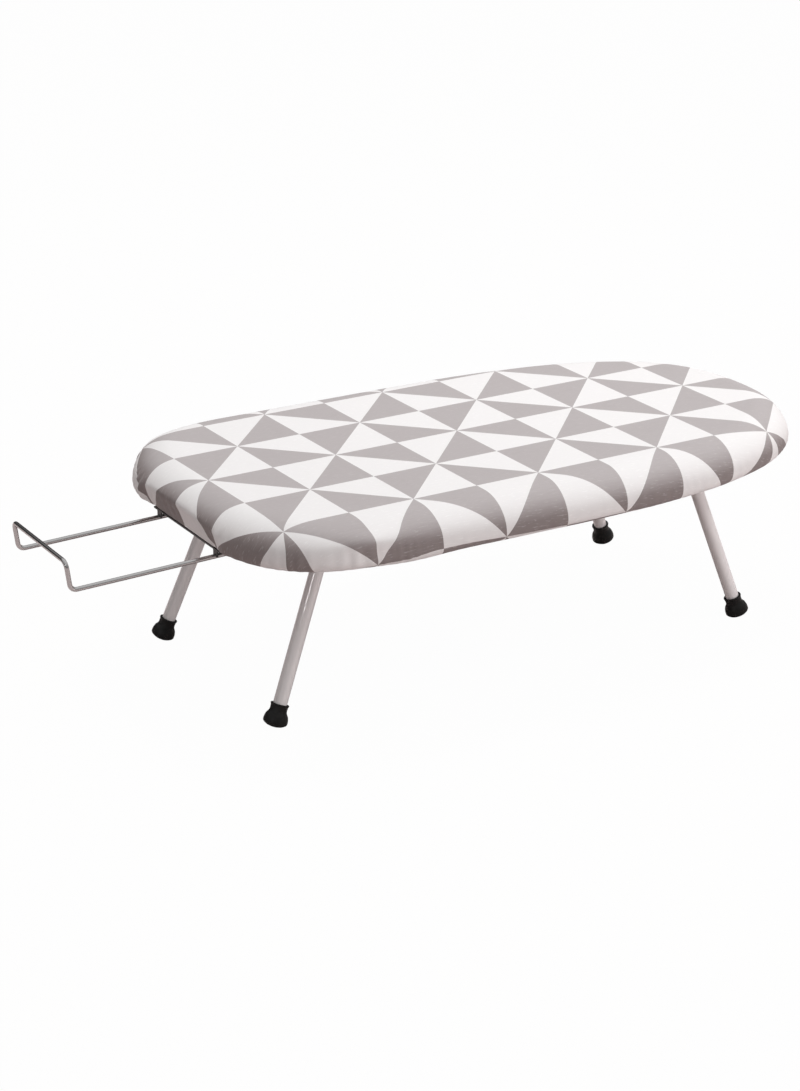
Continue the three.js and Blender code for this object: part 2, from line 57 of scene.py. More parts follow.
def meshOf(name, points, edges=(), faces=()):
    mesh = bpy.data.meshes.new(name)
    mesh.from_pydata([tuple(p) for p in points], edges, faces)
    return mesh


# camera: the photograph's own view
view = {
    "place": (-1.13667, -1.95955, 0.95709),
    "turn": (68.9435, 0.4480, -29.8638),  # degrees
    "lens": 90.43,
    "sensor": 36,
    "far": 50,
}

cameraData = bpy.data.cameras.new("camera")
cameraData.lens = view["lens"]
cameraData.sensor_width = view["sensor"]
cameraData.clip_end = view["far"]
camera = linked("camera", cameraData)
camera.location = view["place"]
camera.rotation_euler = Euler([math.radians(a) for a in view["turn"]])
scene.camera = camera
print("camera set")


# shader maths as plain expressions
class Value:
    def __init__(self, tree, socket):
        self.tree = tree
        self.socket = socket

    def math(self, operation, *others):
        node = self.tree.nodes.new("ShaderNodeMath")
        node.operation = operation
        for slot, item in zip(node.inputs, (self, *others)):
            put(self.tree, slot, item)
        return Value(self.tree, node.outputs[0])

    def __add__(self, other):
        return self.math("ADD", other)

    __radd__ = __add__

    def __sub__(self, other):
        return self.math("SUBTRACT", other)

    def __rsub__(self, other):
        return (self * -1.0).math("ADD", other)

    def __mul__(self, other):
        return self.math("MULTIPLY", other)

    __rmul__ = __mul__

    def __truediv__(self, other):
        return self.math("DIVIDE", other)

    def floor(self):
        return self.math("FLOOR")

    def between(self, low, high):  # 0 below low, 1 above high
        node = self.tree.nodes.new("ShaderNodeMapRange")
        node.interpolation_type = "SMOOTHSTEP"
        for name, item in (("Value", self), ("From Min", low), ("From Max", high)):
            put(self.tree, node.inputs[name], item)
        return Value(self.tree, node.outputs["Result"])


def put(tree, slot, item):
    source = item.socket if isinstance(item, Value) else item
    if isinstance(source, bpy.types.NodeSocket):
        tree.links.new(source, slot)
    else:
        slot.default_value = source


class Tree:
    def node(self, kind, settings=None, **sockets):
        node = self.tree.nodes.new(kind)
        for name, item in (settings or {}).items():
            setattr(node, name, item)
        for name, item in sockets.items():
            put(self.tree, node.inputs[name.replace("_", " ")], item)
        return node


class Finish(Tree):
    def __init__(self, name):
        self.material = bpy.data.materials.new(name)
        self.material.use_nodes = True
        self.tree = self.material.node_tree
        self.shader = self.tree.nodes["Principled BSDF"]

    def out(self, node, name):
        return Value(self.tree, node.outputs[name])

    def coords(self, kind="Object"):
        return self.out(self.node("ShaderNodeTexCoord"), kind)

    def split(self, vector):
        node = self.node("ShaderNodeSeparateXYZ", Vector=vector)
        return [self.out(node, axis) for axis in "XYZ"]

    def join(self, x, y):
        return self.out(self.node("ShaderNodeCombineXYZ", X=x, Y=y), "Vector")

    def noise(self, vector, scale, detail=2.0):
        node = self.node("ShaderNodeTexNoise", Vector=vector, Scale=scale, Detail=detail)
        return self.out(node, "Fac")

    def mix(self, factor, first, second):
        node = self.node("ShaderNodeMix", {"data_type": "RGBA"})
        for place, item in zip((0, 6, 7), (factor, first, second)):  # its colour sockets
            put(self.tree, node.inputs[place], item)
        return Value(self.tree, node.outputs[2])

    def blend(self, factor, first, second):
        node = self.node("ShaderNodeMixShader")
        for slot, item in zip(node.inputs, (factor, first.outputs[0], second.outputs[0])):
            put(self.tree, slot, item)
        return node

    def set(self, **sockets):
        for name, item in sockets.items():
            put(self.tree, self.shader.inputs[name.replace("_", " ")], item)

    def bump(self, height, distance, strength=1.0):
        node = self.node("ShaderNodeBump", Height=height, Distance=distance, Strength=strength)
        self.set(Normal=self.out(node, "Normal"))


def rgb(red, green, blue):
    return (red, green, blue, 1.0)


# plan outline, metres, in the same frame as the solids
board = {
    "middle": 0.06,  # x of the board's middle
    "length": 0.6,
    "width": 0.342,
    "height": 0.181,
    "edge": 0.034,
    "heel": (0.126, 0.1, 0.114),  # run, handle along the side, handle across the end
    "nose": (0.3, 0.286, 0.064),
    "curvePoints": 1500,  # on each curve, before they are spaced evenly
    "steps": 420,  # per half of the outline
}
ends, sides = ("heel", "nose"), ("back", "front")


# cover cloth: squares cut by both diagonals, every other triangle grey
cottonPrint = {
    "corner": (-0.2002, 0.0073),  # one eight-way crossing on the flat cloth
    "half": (0.0615, 0.0652),
    "turn": 0.0152,
    "white": (rgb(0.77, 0.735, 0.73), rgb(0.79, 0.768, 0.765)),  # painted shade round the edge, painted light on the top
    "grey": (rgb(0.25, 0.21, 0.205), rgb(0.43, 0.393, 0.393)),
    "fleck": (rgb(0.9, 0.885, 0.88), rgb(0.52, 0.49, 0.485)),  # on white, on grey
    "fleckGrain": (150.0, 800.0),  # along and across the cloth
    "fleckRange": (0.58, 0.7),
    "fleckShare": 0.4,
    "slubGrain": (60.0, 520.0),
    "slubShare": 0.3,
    "cloudGrain": 16.0,
    "cloudShare": 0.16,
    "paintedLightX": (-0.235, -0.13),  # painted light: past the heel the lit top's colour reaches further down the side
    "paintedLightDepth": (0.012, 0.023),  # at the heel, ahead of it
    "paintedLightTop": 0.001,
    "threads": 2200.0,  # per metre
    "fuzzGrain": 900.0,
    "relief": (0.4, 1.2, 0.4),  # shares of threads, slubs and fuzz
}


def cottonFinish():
    spec = cottonPrint
    cotton = Finish("printedCotton")
    place = cotton.coords("UV")
    u, v, _ = cotton.split(place)

    def grain(stretch, detail):
        return cotton.noise(cotton.join(u * stretch[0], v * stretch[1]), scale=1.0, detail=detail)

    c, s = math.cos(spec["turn"]), math.sin(spec["turn"])
    du, dv = u - spec["corner"][0], v - spec["corner"][1]
    m = (du * c + dv * s) / spec["half"][0]
    n = (dv * c - du * s) / spec["half"][1]
    cells = m.floor() + n.floor() + ((m + n) * 0.5).floor() + ((m - n) * 0.5).floor()
    odd = cells.math("FLOORED_MODULO", 2.0)
    slub = grain(spec["slubGrain"], detail=3.0)
    cloud = cotton.noise(place, scale=spec["cloudGrain"], detail=3.0)
    x, _, rise = cotton.split(cotton.coords())
    # painted light and shade: the print is lighter across the top and darker down the edge, and slub and
    # cloud noise jitter where it turns
    ahead = x.between(*spec["paintedLightX"])
    flat = board["height"] - spec["paintedLightTop"]
    atHeel, onward = (rise.between(flat - depth, flat) for depth in spec["paintedLightDepth"])
    paintedShadeAndSlubs = onward * ahead + atHeel * (1 - ahead)
    paintedShadeAndSlubs = paintedShadeAndSlubs + (slub - 0.5) * spec["slubShare"] + (cloud - 0.5) * spec["cloudShare"]
    fleck = grain(spec["fleckGrain"], detail=2.0).between(*spec["fleckRange"]) * spec["fleckShare"]
    ground = cotton.mix(fleck, cotton.mix(paintedShadeAndSlubs, *spec["white"]), spec["fleck"][0])
    ink = cotton.mix(fleck, cotton.mix(paintedShadeAndSlubs, *spec["grey"]), spec["fleck"][1])
    cotton.set(Base_Color=cotton.mix(odd, ground, ink), Roughness=0.82)
    cotton.set(Sheen_Weight=0.12, Sheen_Roughness=0.45, Specular_IOR_Level=0.25)
    warp, weft = ((way * spec["threads"] * math.pi).math("SINE") for way in (u, v))
    layers = (warp * weft, slub, cotton.noise(place, scale=spec["fuzzGrain"]))
    threads, slubs, fuzz = (layer * share for layer, share in zip(layers, spec["relief"]))
    cotton.bump(threads + slubs + fuzz, distance=0.0001, strength=0.6)
    return cotton.material


def feltFinish():
    felt = Finish("greyFelt")
    place = felt.coords()
    fibre = felt.noise(place, scale=700.0, detail=6.0)
    fleck = felt.noise(place, scale=160.0, detail=3.0).between(0.55, 0.7)
    tone = felt.mix(fibre, rgb(0.62, 0.6, 0.56), rgb(0.8, 0.78, 0.74))
    felt.set(Base_Color=felt.mix(fleck * 0.4, tone, rgb(0.4, 0.4, 0.42)), Roughness=0.95)
    felt.set(Sheen_Weight=0.2)
    felt.bump(fibre, distance=0.0006)
    return felt.material


def elasticFinish(name, scale, depth):
    elastic = Finish(name)
    braid = elastic.noise(elastic.coords(), scale)
    elastic.set(Base_Color=elastic.mix(braid, rgb(0.7, 0.69, 0.68), rgb(0.86, 0.85, 0.84)), Roughness=0.8)
    elastic.bump(braid, depth)
    return elastic.material


def paintFinish(name, low, high, roughness, coat):
    paint = Finish(name)
    place = paint.coords()
    cloud = paint.noise(place, scale=30.0, detail=3.0)
    peel = paint.noise(place, scale=900.0)
    paint.set(Base_Color=paint.mix(cloud, low, high))
    paint.set(Roughness=paint.noise(place, scale=60.0) * 0.1 + roughness)
    paint.set(Coat_Weight=coat, Coat_Roughness=0.05, Coat_IOR=1.7)
    paint.bump(peel, distance=0.00003, strength=0.5)
    return paint.material


def chromeFinish():
    chrome = Finish("brightChrome")
    haze = chrome.noise(chrome.coords(), scale=45.0, detail=4.0)
    chrome.set(Base_Color=rgb(0.6, 0.59, 0.59), Metallic=1.0)
    chrome.set(Roughness=haze * 0.08 + 0.08)
    return chrome.material


def zincFinish():
    zinc = Finish("zincRivet")
    spangle = zinc.noise(zinc.coords(), scale=700.0, detail=3.0)
    zinc.set(Base_Color=zinc.mix(spangle, rgb(0.45, 0.45, 0.44), rgb(0.62, 0.61, 0.6)), Metallic=1.0)
    zinc.set(Roughness=spangle * 0.2 + 0.28)
    return zinc.material


def rubberFinish():
    rubber = Finish("blackRubber")
    place = rubber.coords()
    grain = rubber.noise(place, scale=1100.0, detail=3.0)
    scuff = rubber.noise(place, scale=120.0, detail=5.0)
    rubber.set(Base_Color=rubber.mix(scuff, rgb(0.004, 0.0038, 0.0036), rgb(0.011, 0.0105, 0.01)))
    rubber.set(Roughness=scuff * 0.2 + 0.36, Specular_IOR_Level=0.3)
    rubber.bump(grain, distance=0.00008, strength=0.5)
    return rubber.material


finishes = {
    "cotton": cottonFinish(),
    "felt": feltFinish(),
    "elastic": elasticFinish("elasticCord", scale=1500.0, depth=0.0003),
    "thread": elasticFinish("sewingThread", scale=4000.0, depth=0.0001),
    "legPaint": paintFinish(
        "legPaint", rgb(0.785, 0.742, 0.738), rgb(0.835, 0.792, 0.788), roughness=0.26, coat=1.0,
    ),
    "framePaint": paintFinish(
        "framePaint", rgb(0.74, 0.715, 0.71), rgb(0.8, 0.775, 0.77), roughness=0.42, coat=0.0,
    ),
    "blackPaint": paintFinish(
        "blackPaint", rgb(0.012, 0.012, 0.012), rgb(0.022, 0.021, 0.021), roughness=0.35, coat=0.1,
    ),
    "chrome": chromeFinish(),
    "zinc": zincFinish(),
    "rubber": rubberFinish(),
}
print("finishes made:", len(finishes))


def bezier(points, t):
    a, b, c, d = (np.array(p)[None, :] for p in points)
    t = t[:, None]
    place = a * (1 - t) ** 3 + 3 * b * t * (1 - t) ** 2 + 3 * c * t * t * (1 - t) + d * t ** 3
    slope = 3 * (b - a) * (1 - t) ** 2 + 6 * (c - b) * t * (1 - t) + 3 * (d - c) * t * t
    return place, slope


def travel(points):  # distance gone at each point
    return np.concatenate([[0], np.cumsum(np.linalg.norm(np.diff(points, axis=0), axis=1))])


def outline():
    half, tip = board["width"] / 2, board["length"] / 2
    run, along, across = board["nose"]
    start = tip - run
    t = np.linspace(0, 1, board["curvePoints"])
    nose, noseSlope = bezier([(tip, 0), (tip, across), (start + along, half), (start, half)], t)
    run, along, across = board["heel"]
    start = run - tip
    heel, heelSlope = bezier([(start, half), (start - along, half), (-tip, across), (-tip, 0)], t)
    place = np.concatenate([nose, heel])
    slope = np.concatenate([noseSlope, heelSlope])
    slope /= np.linalg.norm(slope, axis=1)[:, None]
    gone = travel(place)
    even = np.linspace(0, gone[-1], board["steps"] + 1)
    x, y = (np.interp(even, gone, place[:, i]) for i in (0, 1))
    sx, sy = (np.interp(even, gone, slope[:, i]) for i in (0, 1))
    size = np.hypot(sx, sy)
    normal = np.stack([sy / size, -sx / size], axis=1)
    side = np.stack([x, y], axis=1)
    back = slice(-2, 0, -1)
    flip = np.array([1, -1])
    places = np.concatenate([side, side[back] * flip])
    normals = np.concatenate([normal, normal[back] * flip])
    places[:, 0] += board["middle"]
    return places, normals, even[1] - even[0]


edgePlaces, edgeNormals, edgeStep = outline()
edgeCount = len(edgePlaces)
edgeRun = np.arange(edgeCount) * edgeStep
edgeTurns = np.unwrap(np.arctan2(edgeNormals[:, 1], edgeNormals[:, 0]))
edgeBend = np.gradient(edgeTurns) / edgeStep  # curvature, 1/m
edgeBend[[0, -1]] = edgeBend[[1, -2]]
print("outline:", edgeCount, "stations")


def arc(inset, z, reach, rise, start, end, steps, skin=None):
    angles = np.radians(np.linspace(start, end, steps + 1))
    return [(inset - reach * math.cos(a), z + rise * math.sin(a), skin) for a in angles]


# the cover is drawn flat across the heel: below a crease the edge slants in to a straight hem
tuck = {"depth": 0.013, "slant": math.radians(20), "width": 0.13, "flare": 0.35, "soft": 0.001}


def facetAt(y, z, skin):
    heel = board["middle"] - board["length"] / 2
    rise = z - board["height"] + board["edge"]
    flare = tuck["flare"] * np.maximum(0, np.abs(y) - tuck["width"] / 2)
    return heel + tuck["depth"] - rise * math.tan(tuck["slant"]) - flare + skin / math.cos(tuck["slant"])


def ringAt(inset, z, skin=None):
    flat = edgePlaces - edgeNormals * np.full(edgeCount, inset)[:, None]
    if skin is not None:
        behind = facetAt(edgePlaces[:, 1], z, skin) - flat[:, 0]
        flat[:, 0] += 0.5 * (behind + np.hypot(behind, tuck["soft"]))
    return np.column_stack([flat, np.full(edgeCount, z)])


def dressed(name, mesh, material):
    mesh.polygons.foreach_set("use_smooth", [True] * len(mesh.polygons))
    mesh.materials.append(material)
    return linked(name, mesh)


def lofted(name, rings, material, closed=False):
    count = len(rings)
    faces = []
    for j in range(count if closed else count - 1):
        a, b = j * edgeCount, ((j + 1) % count) * edgeCount
        for i in range(edgeCount):
            k = (i + 1) % edgeCount
            faces.append((a + i, b + i, b + k, a + k))
    return dressed(name, meshOf(name, np.concatenate(rings), faces=faces), material)


def loftedRing(name, profile, material):
    return lofted(name, [ringAt(*point) for point in profile], material, closed=True)


def tidied(piece):
    mesh = bmesh.new()
    mesh.from_mesh(piece.data)
    bmesh.ops.remove_doubles(mesh, verts=mesh.verts, dist=1e-5)
    bmesh.ops.dissolve_degenerate(mesh, edges=mesh.edges, dist=1e-6)
    bmesh.ops.recalc_face_normals(mesh, faces=mesh.faces)
    mesh.to_mesh(piece.data)
    mesh.free()
    return piece


# cover: one sheet over the top, down the edge and under to the hem, gathered where the edge turns
cover = {
    "reach": 0.038,  # the shoulder, across and down
    "drop": 0.025,
    "backShoulder": (0.028, 0.018),  # fuller along the back and round the nose
    "backWay": (0.5, 0.866),
    "backRange": (-0.1, 0.5),  # how squarely the edge faces that way
    "hemCurve": 0.008,
    "hemWidth": 0.022,
    "underShares": (0.25, 0.5, 0.75, 1.0),  # rings across the hem
    "casing": (0.0238, 0.1467, 0.0016),  # inset, height and radius of the channel for the elastic
    "casingTurn": (-10, -250),  # degrees
    "steps": {"top": 12, "shoulder": 16, "curve": 8, "casing": 10},
    "seamRing": -13,  # the ring that the stitches follow, counted from the last
    "thickness": 0.0009,
    # folds: starts and ends run down the cloth from the top of the shoulder
    "slack": {"depth": 0.00035, "start": (0.03, 0.05), "end": 0.053, "fade": 0.6},  # soft waves on the side
    "gathers": {
        "pitch": 0.0115,
        "side": 0.0005,
        "hem": 0.0012,
        "hemLead": 0.004,
        "tightBend": 11.0,  # curvature at which they are full, 1/m
        "straight": 0.15,  # share left where the edge runs straight
        "blur": 9,  # stations to each side
    },
    "pucker": {"y": 0.066, "spread": 0.016, "depth": 0.0008},  # beside the rest's wires
    "frontFolds": {
        "x": -0.137, "spread": 0.034, "depth": 0.001, "pitch": 0.0095,
        "start": (0.034, 0.048), "end": (0.05, 0.06), "fade": 0.85,
    },
    "frontSag": {"x": -0.105, "spread": 0.035, "depth": 0.0022, "start": (0.046, 0.06)},
    "frontTuck": {
        "x": -0.128, "spread": 0.045, "bulge": 0.0013, "depth": 0.0036,
        "crest": (0.164, 0.172, 0.178), "under": (0.158, 0.169),  # heights
    },
    "frontPuff": {
        "x": -0.147, "spread": 0.017, "height": 0.0022,
        "start": (0.02, 0.034), "end": (0.0355, 0.042), "fade": 1.0,
    },
    "heelFolds": {
        "depth": 0.0006, "pitch": 0.0125, "facing": (0.6, 0.85),
        "start": (0.032, 0.044), "end": 0.048, "fade": 0.95,
    },
    # the print lies askew on the edge: lower along the front, drawn further round the far heel corner
    "pull": {
        "front": (0.3, 0.95),  # how squarely the edge faces the front
        "slip": (0.0, 0.05),  # cloth drawn over the shoulder, in this and the starts below
        "down": (0.0018, 0.0052), "downX": (-0.15, 0.25),
        "less": 0.003, "lessX": ((-0.113, -0.08), (-0.06, 0.03)),
        "along": (0.0002, 0.0042), "alongX": (-0.15, 0.1),
        "corner": 0.022, "cornerStart": (0.034, 0.054),
        "cornerWay": (-0.7, 0.714), "cornerRange": (0.76, 0.9),
        "heel": 0.0065, "heelRange": (0.4, 0.75), "heelStart": (0.015, 0.045),
        "nose": 0.0032, "noseRange": ((0.36, 0.58), (-0.45, 0.45)), "noseStart": (0.0, 0.03),
    },
}


def spinePoints():
    reach = board["length"] / 2 - board["width"] / 2
    x = edgePlaces[:, 0] - edgeNormals[:, 0] * cover["reach"] - board["middle"]
    return np.column_stack([np.clip(x, -reach, reach) + board["middle"], np.zeros(edgeCount)])


def ease(value, low, high):
    f = np.clip((value - low) / (high - low), 0, 1)
    return f * f * (3 - 2 * f)


def span(value, start, end, fade):  # grows over the start and fades over the end
    return ease(value, *start) * (1 - fade * ease(value, *end))


def wave(rate, phase=0.0):  # round the outline, in radians a metre
    return np.sin(edgeRun * rate + phase)


def unevenWave(pitch, drift):
    return np.sin(2 * math.pi * edgeRun / pitch + drift)


def gatherWave():  # the rates have no common measure, so no two gathers are alike
    spec = cover["gathers"]
    drift = 2.1 * wave(37.0, 0.4) + 1.3 * wave(83.0, 2.0)
    strength = 0.6 + 0.4 * wave(51.0, 1.1) * wave(23.0)
    bend = np.clip(edgeBend / spec["tightBend"], 0, 1)
    blur = spec["blur"]
    window = np.ones(2 * blur + 1) / (2 * blur + 1)
    soft = np.convolve(np.concatenate([bend[-blur:], bend, bend[:blur]]), window, "valid")
    return unevenWave(spec["pitch"], drift) * strength, soft


def nearFront(spot):  # one stretch of the front edge
    return np.exp(-((edgePlaces[:, 0] - spot["x"]) / spot["spread"]) ** 2) * (edgePlaces[:, 1] < 0)


def frontPinch(z):  # bulges over a crease and turns in below it
    spot = cover["frontTuck"]
    low, crest, high = spot["crest"]
    over = ease(z, low, crest) * (1 - ease(z, crest, high))
    return (spot["bulge"] * over - spot["depth"] * (1 - ease(z, *spot["under"]))) * nearFront(spot)


fullness = ease(edgeNormals @ np.array(cover["backWay"]), *cover["backRange"])
shoulderReach, shoulderDrop = (
    usual + (full - usual) * fullness
    for usual, full in zip((cover["reach"], cover["drop"]), cover["backShoulder"])
)


def shoulderProfile(reach, drop, skin=None):
    return arc(reach, board["height"] - drop, reach, drop, 90, 0, cover["steps"]["shoulder"], skin)


def hemProfile():
    low, curve = board["height"] - board["edge"], cover["hemCurve"]
    profile = arc(curve, low + curve, curve, curve, 0, -90, cover["steps"]["curve"], 0.0)
    profile += [(curve + (cover["hemWidth"] - curve) * share, low, 0.0) for share in cover["underShares"]]
    inset, height, radius = cover["casing"]
    return profile + arc(inset, height, radius, radius, *cover["casingTurn"], cover["steps"]["casing"])


def foldLift(turn, seam, last):  # how far folds lift the cloth, round the outline, at a length down it
    gathers, pucker, slack = cover["gathers"], cover["pucker"], cover["slack"]
    folds, heelFolds = cover["frontFolds"], cover["heelFolds"]
    puff, sag = cover["frontPuff"], cover["frontSag"]
    gather, bend = gatherWave()
    ripple = unevenWave(folds["pitch"], 2.6 * wave(71.0)) * (0.55 + 0.45 * wave(118.0, 0.7))
    ripple *= nearFront(folds)
    crumple = (unevenWave(heelFolds["pitch"], 2.2 * wave(53.0, 0.3)) + 0.4) * (0.5 + 0.5 * wave(97.0))
    crumple *= ease(-edgeNormals[:, 0], *heelFolds["facing"])
    beside = np.exp(-((np.abs(edgePlaces[:, 1]) - pucker["y"]) / pucker["spread"]) ** 2)
    beside *= edgePlaces[:, 0] < 0

    def lift(length):
        side = span(length, slack["start"], (slack["end"], turn), slack["fade"])
        under = ease(length, turn - gathers["hemLead"], last)
        total = (gather - 0.5) * gathers["side"] * side + (gather + 1) * 0.5 * gathers["hem"] * under
        total *= gathers["straight"] + (1 - gathers["straight"]) * bend
        total += folds["depth"] * ripple * span(length, folds["start"], folds["end"], folds["fade"])
        heelEnd = (heelFolds["end"], turn)
        total += heelFolds["depth"] * crumple * span(length, heelFolds["start"], heelEnd, heelFolds["fade"])
        total += puff["height"] * nearFront(puff) * span(length, puff["start"], puff["end"], puff["fade"])
        total += sag["depth"] * nearFront(sag) * span(length, sag["start"], (turn, seam), 1.0)
        total += slack["depth"] * side * wave(61.0, 40.0 * length) * wave(23.0, 1.0 - 55.0 * length)
        total += pucker["depth"] * beside * side * wave(430.0, 120.0 * length)
        return total

    return lift


def printPull():  # where the cloth lay when flat, by how much of it is drawn over the shoulder
    pull = cover["pull"]
    x = edgePlaces[:, 0]
    nx, ny = edgeNormals.T
    front = ease(-ny, *pull["front"])
    down = pull["down"][0] + pull["down"][1] * ease(x, *pull["downX"])
    down = front * (down - pull["less"] * span(x, *pull["lessX"], 1.0))
    across = front * (pull["along"][0] + pull["along"][1] * ease(x, *pull["alongX"]))
    corner = pull["corner"] * ease(edgeNormals @ np.array(pull["cornerWay"]), *pull["cornerRange"])
    raised = pull["nose"] * ease(nx, *pull["noseRange"][0]) * ease(-ny, *pull["noseRange"][1])
    edgeways = np.column_stack([ny, -nx]) * (pull["heel"] * ease(-nx, *pull["heelRange"]))[:, None]

    def flatAt(drawn):
        slip = ease(drawn, *pull["slip"])
        further = corner * ease(drawn, *pull["cornerStart"]) + raised * ease(drawn, *pull["noseStart"])
        flat = edgePlaces - edgeNormals * (shoulderReach - drawn + down * slip - further)[:, None]
        flat[:, 0] += across * slip
        return flat + edgeways * ease(drawn, *pull["heelStart"])[:, None]

    return flatAt


def buildCover():
    top, steps = board["height"], cover["steps"]
    hem = hemProfile()
    profile = shoulderProfile(shoulderReach, shoulderDrop, 0.0) + hem
    usual = np.array([point[:2] for point in shoulderProfile(cover["reach"], cover["drop"]) + hem])
    run = travel(usual)
    slope = np.gradient(usual, axis=0)
    slope /= np.linalg.norm(slope, axis=1)[:, None]
    outward = np.column_stack([slope[:, 1], -slope[:, 0]])  # in [inset, z]: away from the pad
    turn, seam = run[steps["shoulder"] + steps["curve"]], run[cover["seamRing"]]
    lift, flatAt = foldLift(turn, seam, run[-1]), printPull()

    rings, flats = [], []
    first = ringAt(shoulderReach, top)
    spine = spinePoints()
    for share in np.arange(steps["top"]) / steps["top"]:
        flat = spine * (1 - share) + first[:, :2] * share
        rings.append(np.column_stack([flat, np.full(edgeCount, top)]))
        flats.append(flat)
    before, drawn = first, np.zeros(edgeCount)
    for point, length, away in zip(profile, run, outward):
        ring = ringAt(*point)
        drawn = drawn + np.linalg.norm(ring - before, axis=1)
        before = ring.copy()
        rise = lift(length)
        pinch = frontPinch(point[1]) * (1 - ease(length, turn, seam))
        ring[:, :2] += edgeNormals * (pinch - rise * away[0])[:, None]
        ring[:, 2] += rise * away[1]
        rings.append(ring)
        flats.append(flatAt(drawn))
    piece = lofted("coverCloth", rings, finishes["cotton"])
    layer = piece.data.uv_layers.new(name="flatCloth")
    corners = np.zeros(len(piece.data.loops), dtype=np.int32)
    piece.data.loops.foreach_get("vertex_index", corners)
    layer.data.foreach_set("uv", np.concatenate(flats)[corners].astype(np.float32).ravel())
    tidied(piece)
    wall = piece.modifiers.new("thickness", "SOLIDIFY")
    wall.thickness = cover["thickness"]
    wall.offset = -1
    return piece, run[-1], rings[cover["seamRing"]]


coverCloth, coverDrop, stitchLine = buildCover()
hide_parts("cover")
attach(coverCloth, "board")
spare = 2 * (coverDrop - cover["reach"])
cutSize = (board["width"] + spare, board["length"] + spare)
nextPlaces = np.roll(edgePlaces, -1, axis=0)
planArea = abs(np.sum(edgePlaces[:, 0] * nextPlaces[:, 1] - nextPlaces[:, 0] * edgePlaces[:, 1])) / 2
cutArea = planArea + edgeCount * edgeStep * spare / 2 + math.pi * spare * spare / 4
cutText = " by ".join(f"{side:.3f}" for side in cutSize)
print("cover:", len(coverCloth.data.polygons), "faces, cut", cutText, "m,", round(cutArea, 4), "m2")


# felt pad under the cover
pad = {
    "inset": 0.0015,
    "skirt": 0.007,
    "foot": (0.001, 0.0004),  # eased lower corners, across and down
    "top": 0.1795,
    "thickness": 0.008,
    "inside": 0.011,
    "topShares": (0.7, 0.4, 0.0),  # rings between the edge and the spine
    "steps": (12, 8),  # on the shoulder, inside
}


def buildPad():
    top, inset, inside = pad["top"], pad["inset"], pad["inside"]
    reach, drop = shoulderReach, shoulderDrop
    across, down = pad["foot"]
    shoulderSteps, insideSteps = pad["steps"]
    low = board["height"] - board["edge"] + cover["hemCurve"]
    under = top - pad["thickness"]
    wall = inset + pad["skirt"]
    profile = arc(reach, board["height"] - drop, reach - inset, drop - inset, 90, 0, shoulderSteps, inset)
    profile += [(inset, low, inset), (inset + across, low - down, inset + across)]
    outside = len(profile)
    profile += [(wall - across, low - down, wall - across), (wall, low, wall)]
    profile += arc(wall + inside, under - inside, inside, inside, 0, 90, insideSteps, wall)
    rings = [ringAt(*point) for point in profile]
    for ring in rings[:outside]:
        ring[:, :2] += edgeNormals * frontPinch(ring[:, 2])[:, None]
    first, last = rings[0][:, :2], rings[-1][:, :2]
    spine = spinePoints()
    for share in pad["topShares"]:
        rings.insert(0, np.column_stack([spine * (1 - share) + first * share, np.full(edgeCount, top)]))
        rings.append(np.column_stack([spine * (1 - share) + last * share, np.full(edgeCount, under)]))
    return tidied(lofted("padFelt", rings, finishes["felt"]))


padFelt = buildPad()
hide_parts("felt_pad")
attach(padFelt, "board")
print("pad:", len(padFelt.data.polygons), "faces")


# elastic cord in the hem
hemCord = {"radius": 0.0006, "sides": 10}


def buildHemCord():
    inset, height, _ = cover["casing"]
    radius, sides = hemCord["radius"], hemCord["sides"]
    profile = arc(inset, height, radius, radius, 0, 360 / sides - 360, sides - 1)
    return loftedRing("hemElastic", profile, finishes["elastic"])


hemElastic = buildHemCord()
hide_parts("hem_cord")
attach(hemElastic, "board")
print("hem cord:", len(hemElastic.data.polygons), "faces")


# geometry nodes helpers
class Nodes(Tree):
    def __init__(self, name):
        self.tree = bpy.data.node_groups.new(name, "GeometryNodeTree")
        self.face = self.tree.interface
        self.face.new_socket("Geometry", in_out="INPUT", socket_type="NodeSocketGeometry")
        self.face.new_socket("Geometry", in_out="OUTPUT", socket_type="NodeSocketGeometry")
        self.start = self.tree.nodes.new("NodeGroupInput")
        self.end = self.tree.nodes.new("NodeGroupOutput")
        self.names = {}

    def input(self, name, kind="NodeSocketFloat"):
        socket = self.face.new_socket(name, in_out="INPUT", socket_type=kind)
        self.names[name] = socket.identifier
        return self.start.outputs[name]

    def swept(self, line, section):
        curves = {"Curve": line.outputs[0], "Profile_Curve": section.outputs[0]}
        return self.node("GeometryNodeCurveToMesh", **curves, Fill_Caps=True)

    def close(self, last, material):
        real = self.node("GeometryNodeRealizeInstances", Geometry=last.outputs[0])
        painted = self.node("GeometryNodeSetMaterial", Geometry=real.outputs[0], Material=material)
        put(self.tree, self.end.inputs[0], painted.outputs[0])


def grown(name, base, nodes, values):
    holder = linked(name + "Source", base)
    modifier = holder.modifiers.new("nodes", "NODES")
    modifier.node_group = nodes.tree
    for key, item in values.items():
        modifier[nodes.names[key]] = item
    depsgraph = bpy.context.evaluated_depsgraph_get()
    mesh = bpy.data.meshes.new_from_object(holder.evaluated_get(depsgraph))
    mesh.name = name
    holder.modifiers.clear()
    bpy.data.objects.remove(holder)
    return linked(name, mesh)


# bent tube or wire along a line with rounded corners
def bentNodes(name, material):
    nodes = Nodes(name)
    radius, bend = nodes.input("Radius"), nodes.input("Bend")
    line = nodes.node("GeometryNodeMeshToCurve", Mesh=nodes.start.outputs["Geometry"])
    rounded = {"mode": "POLY"}
    fillet = nodes.node("GeometryNodeFilletCurve", rounded, Curve=line.outputs[0], Radius=bend, Count=14)
    section = nodes.node("GeometryNodeCurvePrimitiveCircle", Resolution=24, Radius=radius)
    tube = nodes.swept(fillet, section)
    nodes.close(nodes.node("GeometryNodeSetShadeSmooth", Geometry=tube.outputs[0]), material)
    return nodes


